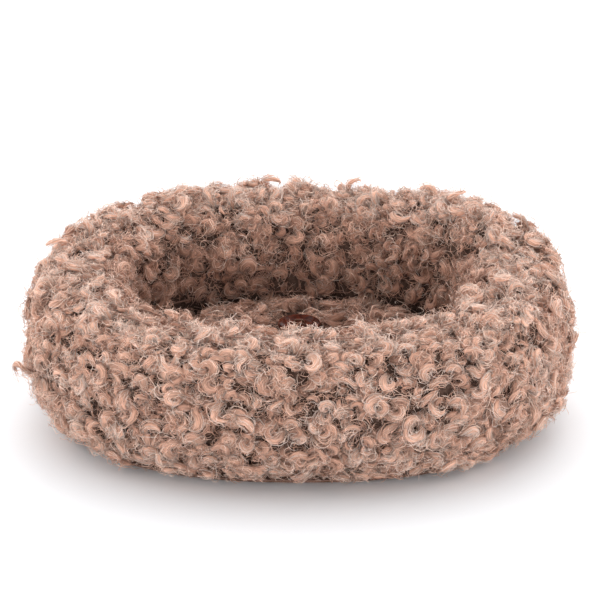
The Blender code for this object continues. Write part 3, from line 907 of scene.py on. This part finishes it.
STUDIO_FLOOR_RADIUS, STUDIO_WHITE = 6.0, (0.81, 0.82, 0.84, 1)
SKY_STRENGTH = 3.2
SKY = [(0.0, 1.0), (0.20, 1.0), (0.32, 0.74), (0.55, 0.50), (0.79, 0.42), (1.0, 0.46)]  # by the sine of the elevation
SKY_LEAN, SKY_LEAN_FROM = 1.9, 0.2  # how much brighter it is high at the back than at the front, and from where up


def set_studio():
    """A light tent: bright low down all round, and brighter behind the bed than in front of it higher up."""
    scene = bpy.context.scene
    scene.view_settings.view_transform = "Standard"
    world = bpy.data.worlds.new("studio")
    scene.world = world
    world.use_nodes = True
    nodes, links = world.node_tree.nodes, world.node_tree.links

    def maths(operation, first, second):
        node = nodes.new("ShaderNodeMath")
        node.operation = operation
        for socket, value in zip(node.inputs, (first, second)):
            if isinstance(value, float):
                socket.default_value = value
            else:
                links.new(value, socket)
        return node.outputs[0]

    place = nodes.new("ShaderNodeTexCoord")
    split = nodes.new("ShaderNodeSeparateXYZ")
    links.new(place.outputs["Generated"], split.inputs[0])
    sky = ramp(nodes, links, split.outputs[2], [(at, grey(level)) for at, level in SKY])
    lean = maths("MAXIMUM", maths("SUBTRACT", maths("MULTIPLY", split.outputs[2], SKY_LEAN), SKY_LEAN_FROM), 0.0)
    level = maths("MAXIMUM", maths("ADD", maths("MULTIPLY", lean, split.outputs[1]), 1.0), 0.0)
    links.new(sky, nodes["Background"].inputs[0])
    links.new(maths("MULTIPLY", level, SKY_STRENGTH), nodes["Background"].inputs[1])

    mesh = bpy.data.meshes.new("studio_floor")
    work = bmesh.new()
    bmesh.ops.create_circle(work, cap_ends=True, segments=96, radius=STUDIO_FLOOR_RADIUS)
    work.to_mesh(mesh)
    work.free()
    ground = bpy.data.objects.new("studio_floor", mesh)
    scene.collection.objects.link(ground)
    material, nodes, links, shader = shader_material("studio_white", 0.6, Specular_IOR_Level=0.2)
    shader.inputs["Base Color"].default_value = STUDIO_WHITE
    mesh.materials.append(material)


# ---------------------------------------------------------------- the bed


PIECE_TRIANGLES = 175000  # the most in one piece of pile, about
CREST_BELOW, CREST_INSIDE = 0.014, 0.012  # the crest's pieces reach this far from it, outwards and inwards
CREST_FUZZ, FUZZ_COST = 3, 0.18  # fuzz on the crest against elsewhere, and the share that each helping adds to a lock


def patch_headings(ground):
    """The way each lock starts out swirls in patches."""
    return 2.2 * swirl(ground.root) + 1.4 * swirl_turn(ground.root)


def wall_headings(ground):
    return patch_headings(ground) + pi / 2


def sectors_of(share, cost):
    """Splits pieces so that none has too many triangles. share, 0 to 1, is each lock's place along the split."""
    count = max(1, int(np.ceil(cost.sum() / PIECE_TRIANGLES)))
    order = np.argsort(share)
    filled = np.cumsum(cost[order]) / cost.sum()
    sector = np.empty(len(share), int)
    sector[order] = np.minimum((filled * count - 1e-9).astype(int), count - 1)
    return sector


def tube_triangles(points, sides):
    return 2 * sides * (points - 3) + 2 * sides


def layer_cost(layer):
    """How many triangles one lock takes."""
    hairs = layer["hairs"] * tube_triangles(layer["hair_points"], 3)
    core = tube_triangles(layer["core_points"], layer["core_sides"])
    fuzz = layer["fuzz"] * tube_triangles(FUZZ_POINTS, 3)
    return hairs + core + fuzz + layer["frizz"] * tube_triangles(FRIZZ_POINTS, 3)


def grown_layers(place_roots, ground_of, headings, upright_of, painted_light_of, scale_of, rng):
    """Both layers of one ground, with the roots, the grown locks and what each lock costs."""
    made = []
    for layer in (UNDER, UPPER):
        roots = place_roots(layer["spacing"] * (1), rng)
        ground = ground_of(*roots)
        count = len(roots[0])
        # Each lock's tone: the layer's tone, the painted light given for its place, random patches, painted highlight
        # on raised lumps and painted shade in the hollows between them (lump_fine), and random spread.
        shades = layer["tone"] + painted_light_of(*roots) + 0.08 * tone_patch(ground.root) + 0.08 * lump_fine(ground.root)
        shades += rng.normal(0, 0.15, count)
        shades = np.clip(shades, 0.03, 0.97)
        upright = upright_of(*roots) * (layer is UPPER)
        grown = grow(ground, layer, upright, headings(ground), shades, scale_of(*roots), rng)
        made.append((layer, roots, grown, np.full(count, layer_cost(layer))))
    return made


def build_piece(name, made, picks, ground_of, material, node, rng, fuzz=1):
    pile = Pile()
    for (layer, roots, grown, _), picked in zip(made, picks):
        hairs, tone, owner = grown["hairs"]
        own = picked[owner]
        add_hairs(pile, hairs[own], tone[own], rng, layer["half"])
        core, wide, thick, frames, shade = grown["core"]
        frames = (frames[0][picked], frames[1][picked])
        add_cores(pile, core[picked], wide[picked], thick[picked], frames, shade[picked], layer["core_sides"])
        add_fuzz(pile, core[picked], wide[picked], thick[picked], frames, shade[picked], layer["fuzz"] * fuzz, rng)
        add_frizz(pile, ground_of(*(root[picked] for root in roots)), layer, rng)
    piece = pile.build(name, material)
    print(piece.name, pile.triangles())
    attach(piece, "root")
    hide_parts(node)


def build_sectors(name, made, mine, shares, ground_of, material, node, rng, fuzz=1):
    """One region of pile as a row of pieces. mine picks each layer's locks, and shares, 0 to 1, places them in it."""
    share = np.concatenate([place[m] for place, m in zip(shares, mine)])
    cost = np.concatenate([entry[3][m] for entry, m in zip(made, mine)]) * (1 + FUZZ_COST * (fuzz - 1))
    sector = sectors_of(share, cost)
    limits = [share[sector == k].max() for k in range(sector.max() + 1)]
    for k, top in enumerate(limits):
        bottom = limits[k - 1] if k else -1
        picks = [m & (place > bottom) & (place <= top) for place, m in zip(shares, mine)]
        build_piece(f"{name}_{k + 1}", made, picks, ground_of, material, node, rng, fuzz)


def evenly(level):
    """The same value at every root."""
    return lambda x, y: np.full_like(x, level)


def make_pile():
    material = make_pile_material()
    rng = np.random.default_rng(PILE_SEED)

    def wall_upright(along, across):
        place = wall_place(along, across, np.zeros_like(along))[0]
        back = smooth_step(place[:, 1] / 0.10 + 0.5)
        at_button = (1 - back) * np.exp(-(place[:, 0] / 0.034) ** 2)
        return 0.02 + (0.30 + 0.06 * back) * (1 - at_button) * np.exp(-((across - CREST_AT) / 0.012) ** 2)

    # Painted light in the wall pile's tone: a painted highlight along the crest, and painted shade inside the bed,
    # deeper on the left inner wall.
    def wall_painted_light(along, across):
        left = smooth_step(-wall_place(along, across, np.zeros_like(along))[0][:, 0] / 0.06 - 0.4)
        inside = smooth_step((across - CREST_AT - 0.010 + 0.005 * left) / 0.014)
        return 0.38 * np.exp(-((across - CREST_AT) / 0.020) ** 2) - (0.30 + 0.24 * left) * inside

    def wall_scale(along, across):
        crest = np.exp(-((across - CREST_AT) / 0.016) ** 2)
        return 1 - 0.14 * smooth_step((across - CREST_AT - 0.008) / 0.012) - 0.15 * crest

    made = grown_layers(wall_roots, WallGround, wall_headings, wall_upright, wall_painted_light, wall_scale, rng)
    out_edge, in_edge = CREST_AT - CREST_BELOW, CREST_AT + CREST_INSIDE
    for name, node, low, high, fuzz in (
        ("outer_wall_pile", "outer_wall_fleece", 0, out_edge, 1),
        ("crest_pile", "outer_wall_fleece", out_edge, in_edge, CREST_FUZZ),
        ("inner_wall_pile", "inner_wall_fleece", in_edge, 1, 1),
    ):
        mine = [(roots[1] >= low) & (roots[1] < high) for _, roots, _, _ in made]
        shares = [roots[0] / AROUND for _, roots, _, _ in made]
        build_sectors(name, made, mine, shares, WallGround, material, node, rng, fuzz)

    def floor_headings(ground):
        away = np.arctan2(ground.y - TUFT[1], ground.x - TUFT[0])
        near = np.exp(-((np.hypot(ground.x - TUFT[0], ground.y - TUFT[1]) - 0.010) / 0.009) ** 2)
        return patch_headings(ground) * (1 - near) + away * near

    # The floor's pile is darker by 0.24 in tone: painted shade inside the bed.
    made = grown_layers(floor_roots, FloorGround, floor_headings, evenly(0.0), evenly(-0.24), evenly(0.9), rng)
    shares = [0.5 + roots[0] / (2 * FLOOR_FIELD[0]) for _, roots, _, _ in made]
    every = [np.ones(len(share), bool) for share in shares]
    build_sectors("floor_pile", made, every, shares, FloorGround, material, "floor_fleece", rng)


def paint_nodes():
    """Materials for the CAD pieces that stay as they are."""
    thread = make_thread_material("mocha_thread", (0.17, 0.09, 0.065), (0.36, 0.21, 0.16), 900)
    cord = make_thread_material("waxed_cord", (0.06, 0.022, 0.012), (0.19, 0.08, 0.045), 620)
    by_node = {
        "base_fabric": make_weave_material("base_weave", (0.10, 0.055, 0.04), (0.27, 0.155, 0.12), 0.0011, 0.9),
        "tuft_button": make_button_material(),
        "tuft_washer": make_washer_material(),
        "tuft_cord_front": cord,
        "tuft_cord_back": cord,
    }
    for name in (
        "crest_seam_thread", "floor_seam_thread", "base_seam_thread", "closing_thread",
        "outer_back_seam_thread", "inner_back_seam_thread",
    ):
        by_node[name] = thread
    for name, material in by_node.items():
        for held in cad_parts[name].material_slots:
            held.material = material


def main():
    set_camera()
    set_studio()
    backing = make_backing_material()
    wall = wall_body(backing)
    floor = floor_body(backing)
    for piece, nodes, fill in (
        (wall, ("outer_wall_fleece", "inner_wall_fleece", "wall_filling"), 0.8),
        (floor, ("floor_fleece", "floor_filling"), 0.7),
    ):
        stuff(piece)
        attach(piece, "root")
        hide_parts(*nodes)
    make_pile()
    paint_nodes()


main()
